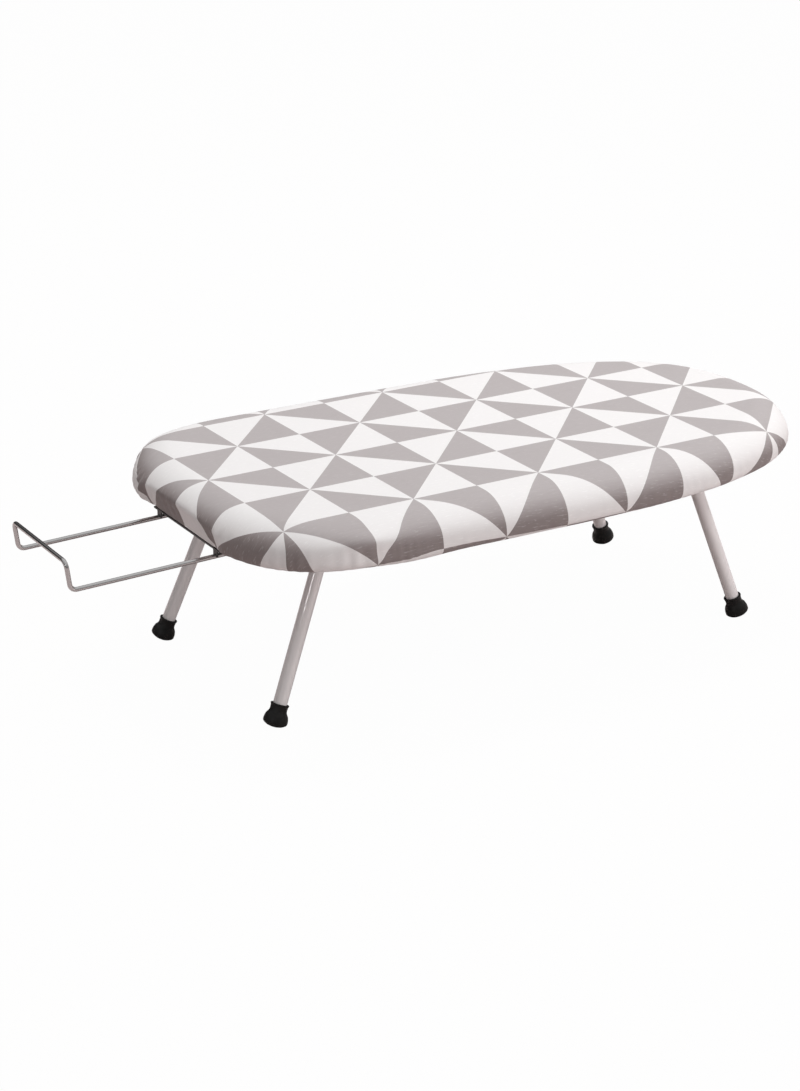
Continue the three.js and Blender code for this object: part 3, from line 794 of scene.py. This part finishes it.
def bent(name, points, nodes, spec):
    line = meshOf("line", points, [(i, i + 1) for i in range(len(points) - 1)])
    return grown(name, line, nodes, {"Radius": spec["radius"], "Bend": spec["bend"]})


# copies of one small shape, each turned by its point's angle
def copiesNodes(name, material):
    nodes = Nodes(name)
    shape = nodes.node("GeometryNodeObjectInfo", Object=nodes.input("Shape", "NodeSocketObject"))
    turn = nodes.node("GeometryNodeInputNamedAttribute", {"data_type": "FLOAT"}, Name="turn")
    euler = nodes.node("ShaderNodeCombineXYZ", Z=turn.outputs["Attribute"])
    spread = nodes.node(
        "GeometryNodeInstanceOnPoints",
        Points=nodes.start.outputs["Geometry"],
        Instance=shape.outputs["Geometry"],
        Rotation=euler.outputs[0],
        Scale=nodes.input("Size"),
    )
    nodes.close(spread, material)
    return nodes


def pointMesh(points, turns=None):
    mesh = meshOf("points", points)
    turn = mesh.attributes.new("turn", "FLOAT", "POINT")
    turn.data.foreach_set("value", turns or [0.0] * len(points))
    return mesh


def copies(name, shape, material, points, turns=None):
    values = {"Shape": shape, "Size": 1.0}
    piece = grown(name, pointMesh(points, turns), copiesNodes(name, material), values)
    bpy.data.objects.remove(shape)
    return piece


def spun(profile, sides):
    mesh = bmesh.new()
    line = [mesh.verts.new((r, 0, h)) for r, h in profile]
    for a, b in zip(line, line[1:]):
        mesh.edges.new((a, b))
    whole = mesh.verts[:] + mesh.edges[:]
    bmesh.ops.spin(mesh, geom=whole, cent=(0, 0, 0), axis=(0, 0, 1), angle=2 * math.pi, steps=sides)
    bmesh.ops.remove_doubles(mesh, verts=mesh.verts, dist=2e-6)
    bmesh.ops.recalc_face_normals(mesh, faces=mesh.faces)
    return mesh


def finished(mesh, name, material, sharp=40):
    data = bpy.data.meshes.new(name)
    mesh.to_mesh(data)
    mesh.free()
    piece = dressed(name, data, material)
    data.set_sharp_from_angle(angle=math.radians(sharp))
    return piece


# stitches along the hem
stitch = {
    "pitch": 0.0034,
    "length": 0.0022,
    "thickness": 0.0005,
    "proud": 0.0001,
    "profile": [(0, -0.5), (0.3, -0.42), (0.5, -0.15), (0.5, 0.15), (0.3, 0.42), (0, 0.5)],  # in shares
    "sides": 6,
}


def buildStitches():
    line = np.concatenate([stitchLine, stitchLine[:1]])
    run = travel(line)
    count = round(run[-1] / stitch["pitch"])
    even = np.linspace(0, run[-1], count, endpoint=False)
    places = np.column_stack([np.interp(even, run, line[:, i]) for i in range(3)])
    ahead = np.roll(places, -1, axis=0) - places
    places[:, 2] -= stitch["proud"]
    thread = spun(stitch["profile"], stitch["sides"])
    turn = Matrix.Rotation(math.pi / 2, 4, "Y")
    size = Matrix.Diagonal((stitch["length"], stitch["thickness"], stitch["thickness"], 1))
    bmesh.ops.transform(thread, matrix=size @ turn, verts=thread.verts)
    shape = finished(thread, "oneStitch", finishes["thread"])
    turns = np.arctan2(ahead[:, 1], ahead[:, 0]).tolist()
    piece = copies("hemStitches", shape, finishes["thread"], places, turns)
    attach(piece, "board")
    return piece


hemStitches = buildStitches()
print("stitches:", len(hemStitches.data.polygons), "faces")


# rim: rolled channel, its open side inward
rim = {
    "inset": 0.0088,
    "top": 0.1699,
    "bottom": 0.1485,
    "shoulder": 0.01,
    "topFlange": 0.018,
    "bottomFlange": 0.024,
    "thickness": 0.001,
    "corner": 0.002,
    "clearance": 0.0003,  # under the cover's flat heel
    "sharp": 40,  # degrees
    "steps": (12, 4),  # on the shoulder, on the corners
}


def buildRim():
    inset, wall, turn, corner = rim["inset"], rim["thickness"], rim["shoulder"], rim["corner"]
    top, low = rim["top"], rim["bottom"]
    many, few = rim["steps"]
    skin = inset + rim["clearance"]
    topEnd, lowEnd = inset + rim["topFlange"], inset + rim["bottomFlange"]
    profile = arc(inset + turn, top - turn, turn, turn, 90, 0, many, skin)
    profile += arc(inset + corner, low + corner, corner, corner, 0, -90, few, skin)
    profile += arc(lowEnd, low + wall / 2, -wall / 2, wall / 2, -90, 90, few)
    profile += arc(inset + corner, low + corner, corner - wall, corner - wall, -90, 0, few, skin + wall)
    profile += arc(inset + turn, top - turn, turn - wall, turn - wall, 0, 90, many, skin + wall)
    profile += arc(topEnd, top - wall / 2, -wall / 2, wall / 2, -90, 90, few)
    return tidied(loftedRing("rimChannel", profile, finishes["framePaint"]))


rimChannel = buildRim()
rimChannel.data.set_sharp_from_angle(angle=math.radians(rim["sharp"]))
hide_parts("rim_frame")
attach(rimChannel, "board")
print("rim:", len(rimChannel.data.polygons), "faces")


# expanded mesh: diamond strands inside a flat border
lattice = {
    "inset": 0.0188,
    "border": 0.0115,
    "z": 0.1702,
    "thickness": 0.001,
    "spacing": 0.0078,
    "stretch": 2.0,
    "strand": 0.0021,
    "reach": 0.47,  # side of the grid before it is stretched
    "strandInset": 0.006,  # how far in from the border's edge the strands end
    "stencilDrop": 0.01,
}


def latticeNodes(material):
    nodes = Nodes("expandedMesh")
    reach, spacing = (Value(nodes.tree, nodes.input(name)) for name in ("Reach", "Spacing"))
    count = reach / spacing
    sizes = {"Size_X": reach, "Size_Y": reach, "Vertices_X": count, "Vertices_Y": count}
    grid = nodes.node("GeometryNodeMeshGrid", **sizes)
    turned = nodes.node("GeometryNodeTransform", Geometry=grid.outputs[0], Rotation=(0, 0, math.pi / 4))
    size = nodes.node("ShaderNodeCombineXYZ", X=nodes.input("Stretch"), Y=1.0, Z=1.0)
    placed = nodes.node(
        "GeometryNodeTransform",
        Geometry=turned.outputs[0],
        Translation=nodes.input("Place", "NodeSocketVector"),
        Scale=size.outputs[0],
    )
    inside = nodes.node(
        "GeometryNodeRaycast",
        Target_Geometry=nodes.start.outputs["Geometry"],
        Ray_Direction=(0, 0, -1),
        Ray_Length=1.0,
    )
    outside = nodes.node("FunctionNodeBooleanMath", {"operation": "NOT"}, Boolean=inside.outputs["Is Hit"])
    kept = nodes.node(
        "GeometryNodeDeleteGeometry",
        {"domain": "EDGE", "mode": "EDGE_FACE"},
        Geometry=placed.outputs[0],
        Selection=outside.outputs[0],
    )
    lines = nodes.node("GeometryNodeMeshToCurve", Mesh=kept.outputs[0])
    section = nodes.node(
        "GeometryNodeCurvePrimitiveQuadrilateral",
        Width=nodes.input("Strand"),
        Height=nodes.input("Thickness"),
    )
    strands = nodes.swept(lines, section)
    border = nodes.node("GeometryNodeObjectInfo", Object=nodes.input("Border", "NodeSocketObject"))
    both = nodes.node("GeometryNodeJoinGeometry")
    for geometry in (strands.outputs[0], border.outputs["Geometry"]):
        put(nodes.tree, both.inputs[0], geometry)
    nodes.close(both, material)
    return nodes


def buildLattice():
    inset, wall, z = lattice["inset"], lattice["thickness"], lattice["z"]
    inner = inset + lattice["border"]
    profile = [(inset, z + wall), (inset, z), (inner, z), (inner, z + wall)]
    border = loftedRing("meshBorder", profile, finishes["framePaint"])
    border.data.polygons.foreach_set("use_smooth", [False] * len(border.data.polygons))
    ring = ringAt(inset + lattice["strandInset"], z - lattice["stencilDrop"])
    stencil = meshOf("stencil", ring, faces=[tuple(range(edgeCount))])
    names = ("spacing", "reach", "stretch", "strand", "thickness")
    values = {name.capitalize(): lattice[name] for name in names}
    values |= {"Place": (board["middle"], 0.0, z + wall / 2), "Border": border}
    piece = grown("meshTop", stencil, latticeNodes(finishes["framePaint"]), values)
    bpy.data.objects.remove(border)
    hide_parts("mesh_top")
    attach(piece, "board")
    return piece


meshTop = buildLattice()
print("mesh top:", len(meshTop.data.polygons), "faces")


# rivets: a domed head below the plates, an upset tail above them
rivet = {
    "head": [
        (0.0, -0.0015), (0.0011, -0.00145), (0.0021, -0.00123),
        (0.0029, -0.00078), (0.0033, -0.0003), (0.0034, 0.0),
    ],
    "shank": 0.002,
    "tail": [(0.0029, 0.0), (0.0028, 0.0003), (0.0022, 0.0007), (0.0, 0.0008)],
    "sides": 28,
    "saddle": (0.165, 0.1689),  # heights of the seats of head and tail
    "carrier": (0.1431, 0.1498),
}


def buildRivets(name, seats, nodeNames):
    heads, tails = seats
    places = [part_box(node) for node in nodeNames]
    points = [((a[0] + b[0]) / 2, (a[1] + b[1]) / 2, heads) for a, b in places]
    length = tails - heads
    shank = [(rivet["shank"], 0.0), (rivet["shank"], length)]
    profile = [*rivet["head"], *shank, *[(r, h + length) for r, h in rivet["tail"]]]
    shape = finished(spun(profile, rivet["sides"]), "oneRivet", finishes["zinc"])
    piece = copies(name, shape, finishes["zinc"], points)
    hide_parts(*nodeNames)
    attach(piece, "board")


saddleNodes = [f"{end}_{side}_saddle" for end in ends for side in sides]
buildRivets("saddleRivets", rivet["saddle"], [f"{node}_rivet_{i}" for node in saddleNodes for i in (1, 2)])
buildRivets("carrierRivets", rivet["carrier"], ["carrier_rivet_1", "carrier_rivet_2"])
print("rivets made")


# pressed plates: the solids with their edges eased
plate = {
    "frame": 0.0004,  # widths of the eased edges
    "carrier": 0.0003,
    "sharp": 30,  # degrees
    "flat": 1,
    "smallFace": 4,  # in squares of the eased width: these are shaded smooth
    "stripFace": 60,
}


def easedPlate(node, name, width, material):
    sharp, flat = (math.radians(plate[key]) for key in ("sharp", "flat"))
    small, strip = (plate[key] * width * width for key in ("smallFace", "stripFace"))
    mesh = bmesh.new()
    mesh.from_mesh(bpy.data.objects[node].data)
    bmesh.ops.remove_doubles(mesh, verts=mesh.verts, dist=1e-6)
    bmesh.ops.dissolve_limit(mesh, angle_limit=flat, verts=mesh.verts, edges=mesh.edges)
    corners = [e for e in mesh.edges if len(e.link_faces) == 2 and e.calc_face_angle(0) > sharp]
    easing = {"offset": width, "segments": 2, "profile": 0.5, "affect": "EDGES", "clamp_overlap": True}
    bmesh.ops.bevel(mesh, geom=corners, **easing)
    piece = finished(mesh, name, material, plate["sharp"])
    for face in piece.data.polygons:
        face.use_smooth = face.area < small or len(face.vertices) == 4 and face.area < strip
    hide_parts(node)
    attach(piece, "board")


for end in ends:
    easedPlate(end + "_rail", end + "Rail", plate["frame"], finishes["framePaint"])
    for side in sides:
        name = end + side.capitalize() + "Saddle"
        easedPlate(f"{end}_{side}_saddle", name, plate["frame"], finishes["framePaint"])
easedPlate("rest_carrier", "restCarrier", plate["carrier"], finishes["blackPaint"])
print("plates eased")


# leg frames
legs = {
    "radius": 0.006,
    "bend": 0.025,
    "lean": {"heel": math.radians(22.1), "nose": math.radians(18.6)},
    "splay": math.radians(5.8),
    "spacing": 0.219,
    "pivotHeight": 0.1561,
    "feetX": {"heel": -0.204, "nose": 0.272},
    "clearance": 0.0003,  # over the floor of the foot's socket
}

# rubber feet: a lipped collar over a bulb, the sole worn round and its inner edge pressed flat
foot = {
    # radius and height along the leg
    "sole": [(0.0, -0.0019), (0.0035, -0.00165), (0.0064, -0.0009), (0.0085, 0.0002), (0.0098, 0.0012)],
    "side": [(0.0104, 0.0022), (0.0104, 0.0048), (0.0095, 0.0084), (0.0075, 0.0119), (0.00745, 0.016)],
    "lip": [(0.0076, 0.0166), (0.0079, 0.0171), (0.008, 0.0176), (0.00785, 0.0181), (0.0075, 0.0182)],
    "socket": (0.0062, 0.005),
    "press": 0.002,
    "sides": 56,
    "curveSteps": 6,
}


def upright(end):
    return math.cos(legs["lean"][end]) * math.cos(legs["splay"])


def soleRise(end):  # along the leg, from the floor to the middle of the sole
    tilt = math.acos(upright(end))
    return (foot["side"][0][0] * math.sin(tilt) - foot["press"]) / upright(end)


def legPoint(end, side, height):
    outward = -1 if end == "heel" else 1
    lean = legs["lean"][end]
    x = legs["feetX"][end] - outward * math.tan(lean) * height
    y = side * (legs["spacing"] / 2 - math.tan(legs["splay"]) * height / math.cos(lean))
    return Vector((x, y, height))


def buildLegs():
    nodes = bentNodes("legTube", finishes["legPaint"])
    for end in ends:
        low = (soleRise(end) + foot["socket"][1] + legs["clearance"]) * upright(end)
        corners = [(1, low), (1, legs["pivotHeight"]), (-1, legs["pivotHeight"]), (-1, low)]
        line = [legPoint(end, side, height) for side, height in corners]
        piece = bent(end + "LegFrame", line, nodes, legs)
        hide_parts(end + "_leg_tube")
        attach(piece, end + "_legs")


buildLegs()
print("leg frames made")


def smoothLine(points, steps):  # a spline through the points
    p = np.array([points[0], *points, points[-1]], dtype=float)
    line = []
    for i in range(1, len(p) - 2):
        for t in np.linspace(0, 1, steps, endpoint=False):
            a, b, c, d = p[i - 1], p[i], p[i + 1], p[i + 2]
            bend = (2 * a - 5 * b + 4 * c - d) * t ** 2 + (3 * b - a - 3 * c + d) * t ** 3
            line.append(0.5 * (2 * b + (c - a) * t + bend))
    return [*line, p[-2]]


def buildFoot(end, word, side):
    inner, floor = foot["socket"]
    height = foot["lip"][-1][1]
    profile = [*foot["sole"], *smoothLine(foot["side"], foot["curveSteps"]), *foot["lip"]]
    profile += [(inner, height), (inner, floor), (0.0, floor)]
    ground = legPoint(end, side, soleRise(end) * upright(end))
    up = (legPoint(end, side, legs["pivotHeight"]) - ground).normalized()
    turn = up.to_track_quat("Z", "Y").to_matrix().to_4x4()
    mesh = spun(profile, foot["sides"])
    bmesh.ops.transform(mesh, matrix=Matrix.Translation(ground) @ turn, verts=mesh.verts)
    whole = mesh.verts[:] + mesh.edges[:] + mesh.faces[:]
    cut = bmesh.ops.bisect_plane(mesh, geom=whole, plane_co=(0, 0, 0), plane_no=(0, 0, 1), clear_inner=True)
    pressed = [e for e in cut["geom_cut"] if isinstance(e, bmesh.types.BMEdge)]
    bmesh.ops.edgeloop_fill(mesh, edges=pressed)
    bmesh.ops.recalc_face_normals(mesh, faces=mesh.faces)
    piece = finished(mesh, f"{end}{word}Foot", finishes["rubber"])
    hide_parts(f"{end}_{word.lower()}_foot")
    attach(piece, end + "_legs")


for end in ends:
    buildFoot(end, "Back", 1)
    buildFoot(end, "Front", -1)
print("feet made")


# iron rest: one chrome wire
rest = {
    "radius": 0.002,
    "bend": 0.006,
    "half": 0.054,
    "mouth": (-0.2258, 0.138),  # where the wires leave the carrier
    "tilt": math.radians(1.7),
    "end": -0.355,
    "lip": (-0.003, 0.025),
    "hookX": -0.1765,
    "hook": 0.011,
}


def buildRest():
    x, z = rest["mouth"]
    slope = math.tan(rest["tilt"])
    inside, outside = (z + (place - x) * slope for place in (rest["hookX"], rest["end"]))

    def oneSide(side):
        y = side * rest["half"]
        return [
            (rest["hookX"], y + side * rest["hook"], inside),
            (rest["hookX"], y, inside),
            (rest["end"], y, outside),
            (rest["end"] + rest["lip"][0], y, outside + rest["lip"][1]),
        ]

    nodes = bentNodes("restWire", finishes["chrome"])
    line = oneSide(1) + oneSide(-1)[::-1]
    piece = bent("ironRest", line, nodes, rest)
    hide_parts("iron_rest")
    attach(piece, "rest")


buildRest()
print("iron rest made")


# floor, light and background
studio = {
    "floor": 6.0,
    "floorColour": rgb(0.57, 0.495, 0.485),
    "floorWhite": 0.98,  # share of white that the camera sees
    "sky": (0.235, 0.66),  # level with the floor, overhead
    "skyRise": (0.0, 0.9),
    "skyTilt": (0.3, 0.2),  # brighter towards the nose and the back
    "darkCard": 0.85,  # low behind the board, for the chrome alone
    "cardAcross": (0.3, 0.8),
    "cardHeight": (0.4, 0.7),
    "aim": 0.1,  # height that the lamps point at
    "lamps": {
        "keyLight": {"place": (1.5, -1.3, 2.0), "power": 11.0, "size": 0.6, "glossy": False},
        "topLight": {"place": (0.62, 0.5, 2.15), "power": 25.5, "size": 0.6, "glossy": False},
        "lowLight": {"place": (1.35, -2.25, 0.45), "power": 16.0, "size": 0.8, "glossy": False},
        "glint": {"place": (-2.2, -1.3, 0.95), "power": 3.0, "size": 0.25, "glossy": True},
    },
}


def seenDirectly(finish):
    path = finish.node("ShaderNodeLightPath")
    return finish.out(path, "Is Camera Ray").math("MAXIMUM", finish.out(path, "Is Transmission Ray"))


def buildFloor():
    size = studio["floor"]
    corners = [(-size, -size, 0), (size, -size, 0), (size, size, 0), (-size, size, 0)]
    floor = linked("floor", meshOf("floor", corners, faces=[(0, 1, 2, 3)]))
    pale = Finish("paleFloor")
    pale.set(Base_Color=studio["floorColour"], Roughness=0.9, Specular_IOR_Level=0.1)
    glow = pale.node("ShaderNodeEmission", Color=rgb(1, 1, 1), Strength=1.0)
    behind = pale.out(pale.node("ShaderNodeNewGeometry"), "Backfacing")
    lit = pale.blend(seenDirectly(pale) * studio["floorWhite"], pale.shader, glow)
    whole = pale.blend(behind, lit, pale.node("ShaderNodeBsdfTransparent"))  # open from below
    put(pale.tree, pale.tree.nodes["Material Output"].inputs["Surface"], whole.outputs[0])
    floor.data.materials.append(pale.material)


class Sky(Finish):
    def __init__(self, name):
        self.world = bpy.data.worlds.new(name)
        self.world.use_nodes = True
        self.tree = self.world.node_tree


def buildSky():
    sky = Sky("studio")
    scene.world = sky.world
    along, across, height = sky.split(sky.coords("Generated"))
    low, high = studio["sky"]
    level = height.between(*studio["skyRise"]) * (high - low) + low
    level = level * (along * studio["skyTilt"][0] + across * studio["skyTilt"][1] + 1.0)
    mirrored = sky.out(sky.node("ShaderNodeLightPath"), "Is Glossy Ray")
    card = across.between(*studio["cardAcross"]) * (1 - height.between(*studio["cardHeight"]))
    level = level * (1 - card * mirrored * studio["darkCard"])
    seen = seenDirectly(sky)
    strength = level + seen * (1.0 - level)
    put(sky.tree, sky.tree.nodes["Background"].inputs["Strength"], strength)
    sky.tree.nodes["Background"].inputs["Color"].default_value = rgb(1, 1, 1)


def buildLamps():
    for name, spec in studio["lamps"].items():
        data = bpy.data.lights.new(name, "AREA")
        data.energy = spec["power"]
        data.size = spec["size"]
        lamp = linked(name, data)
        lamp.location = spec["place"]
        lamp.visible_glossy = spec["glossy"]
        aim = Vector((board["middle"], 0, studio["aim"])) - lamp.location
        lamp.rotation_euler = aim.to_track_quat("-Z", "Y").to_euler()


buildFloor()
buildSky()
buildLamps()
print("studio set")
